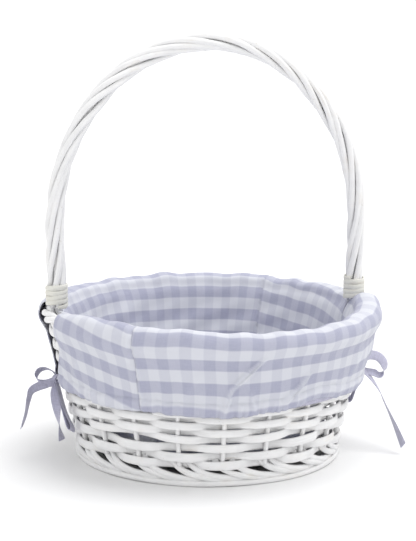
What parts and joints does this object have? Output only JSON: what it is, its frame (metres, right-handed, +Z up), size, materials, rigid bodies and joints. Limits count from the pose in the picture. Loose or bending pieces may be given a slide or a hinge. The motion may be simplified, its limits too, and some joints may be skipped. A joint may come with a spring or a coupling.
{
  "type": "wicker picnic basket",
  "caption": "Round flared basket of white painted willow with a tall fixed roped handle and a lavender gingham cloth liner turned down over the rim and tied with ribbon bows.",
  "frame": {"origin": "centre of the foot, on the ground that the basket stands on", "axes": "+Z up along the basket's axis; +X towards the right-hand handle foot; -Y towards the front"},
  "size_m": [0.359, 0.32, 0.3918],
  "materials": {
    "painted_willow": "white paint, satin, worn thin on high spots",
    "cane_wrap": "white paint over pale peeled cane",
    "gingham_cloth": "woven cotton check, lavender and white",
    "ribbon": "soft woven ribbon, lavender"
  },
  "bodies": {
    "root": {"foot_border": "painted_willow", "base_sticks_pierced": "painted_willow", "base_sticks_through": "painted_willow", "base_weave": "painted_willow", "side_stakes": "painted_willow", "weaver_01": "painted_willow", "weaver_02": "painted_willow", "weaver_03": "painted_willow", "weaver_04": "painted_willow", "weaver_05": "painted_willow", "weaver_06": "painted_willow", "weaver_07": "painted_willow", "weaver_08": "painted_willow", "weaver_09": "painted_willow", "weaver_10": "painted_willow", "weaver_11": "painted_willow", "weaver_12": "painted_willow", "weaver_13": "painted_willow", "weaver_14": "painted_willow", "weaver_15": "painted_willow", "weaver_16": "painted_willow", "weaver_17": "painted_willow", "rim_border": "painted_willow", "handle_core": "painted_willow", "handle_rod_1": "painted_willow", "handle_rod_2": "painted_willow", "handle_rod_3": "painted_willow", "handle_rod_4": "painted_willow", "handle_rod_5": "painted_willow", "handle_rod_6": "painted_willow", "handle_binding_left": "cane_wrap", "handle_binding_right": "cane_wrap", "liner_floor": "gingham_cloth", "liner_wall_front": "gingham_cloth", "liner_wall_left": "gingham_cloth", "liner_wall_back": "gingham_cloth", "liner_wall_right": "gingham_cloth", "flap_front": "gingham_cloth", "flap_left": "gingham_cloth", "flap_back": "gingham_cloth", "flap_right": "gingham_cloth", "ribbon_front": "ribbon", "ribbon_back": "ribbon", "bow_knot_left": "ribbon", "bow_loops_left": "ribbon", "bow_tails_left": "ribbon", "bow_knot_right": "ribbon", "bow_loops_right": "ribbon", "bow_tails_right": "ribbon"}
  },
  "joints": []
}
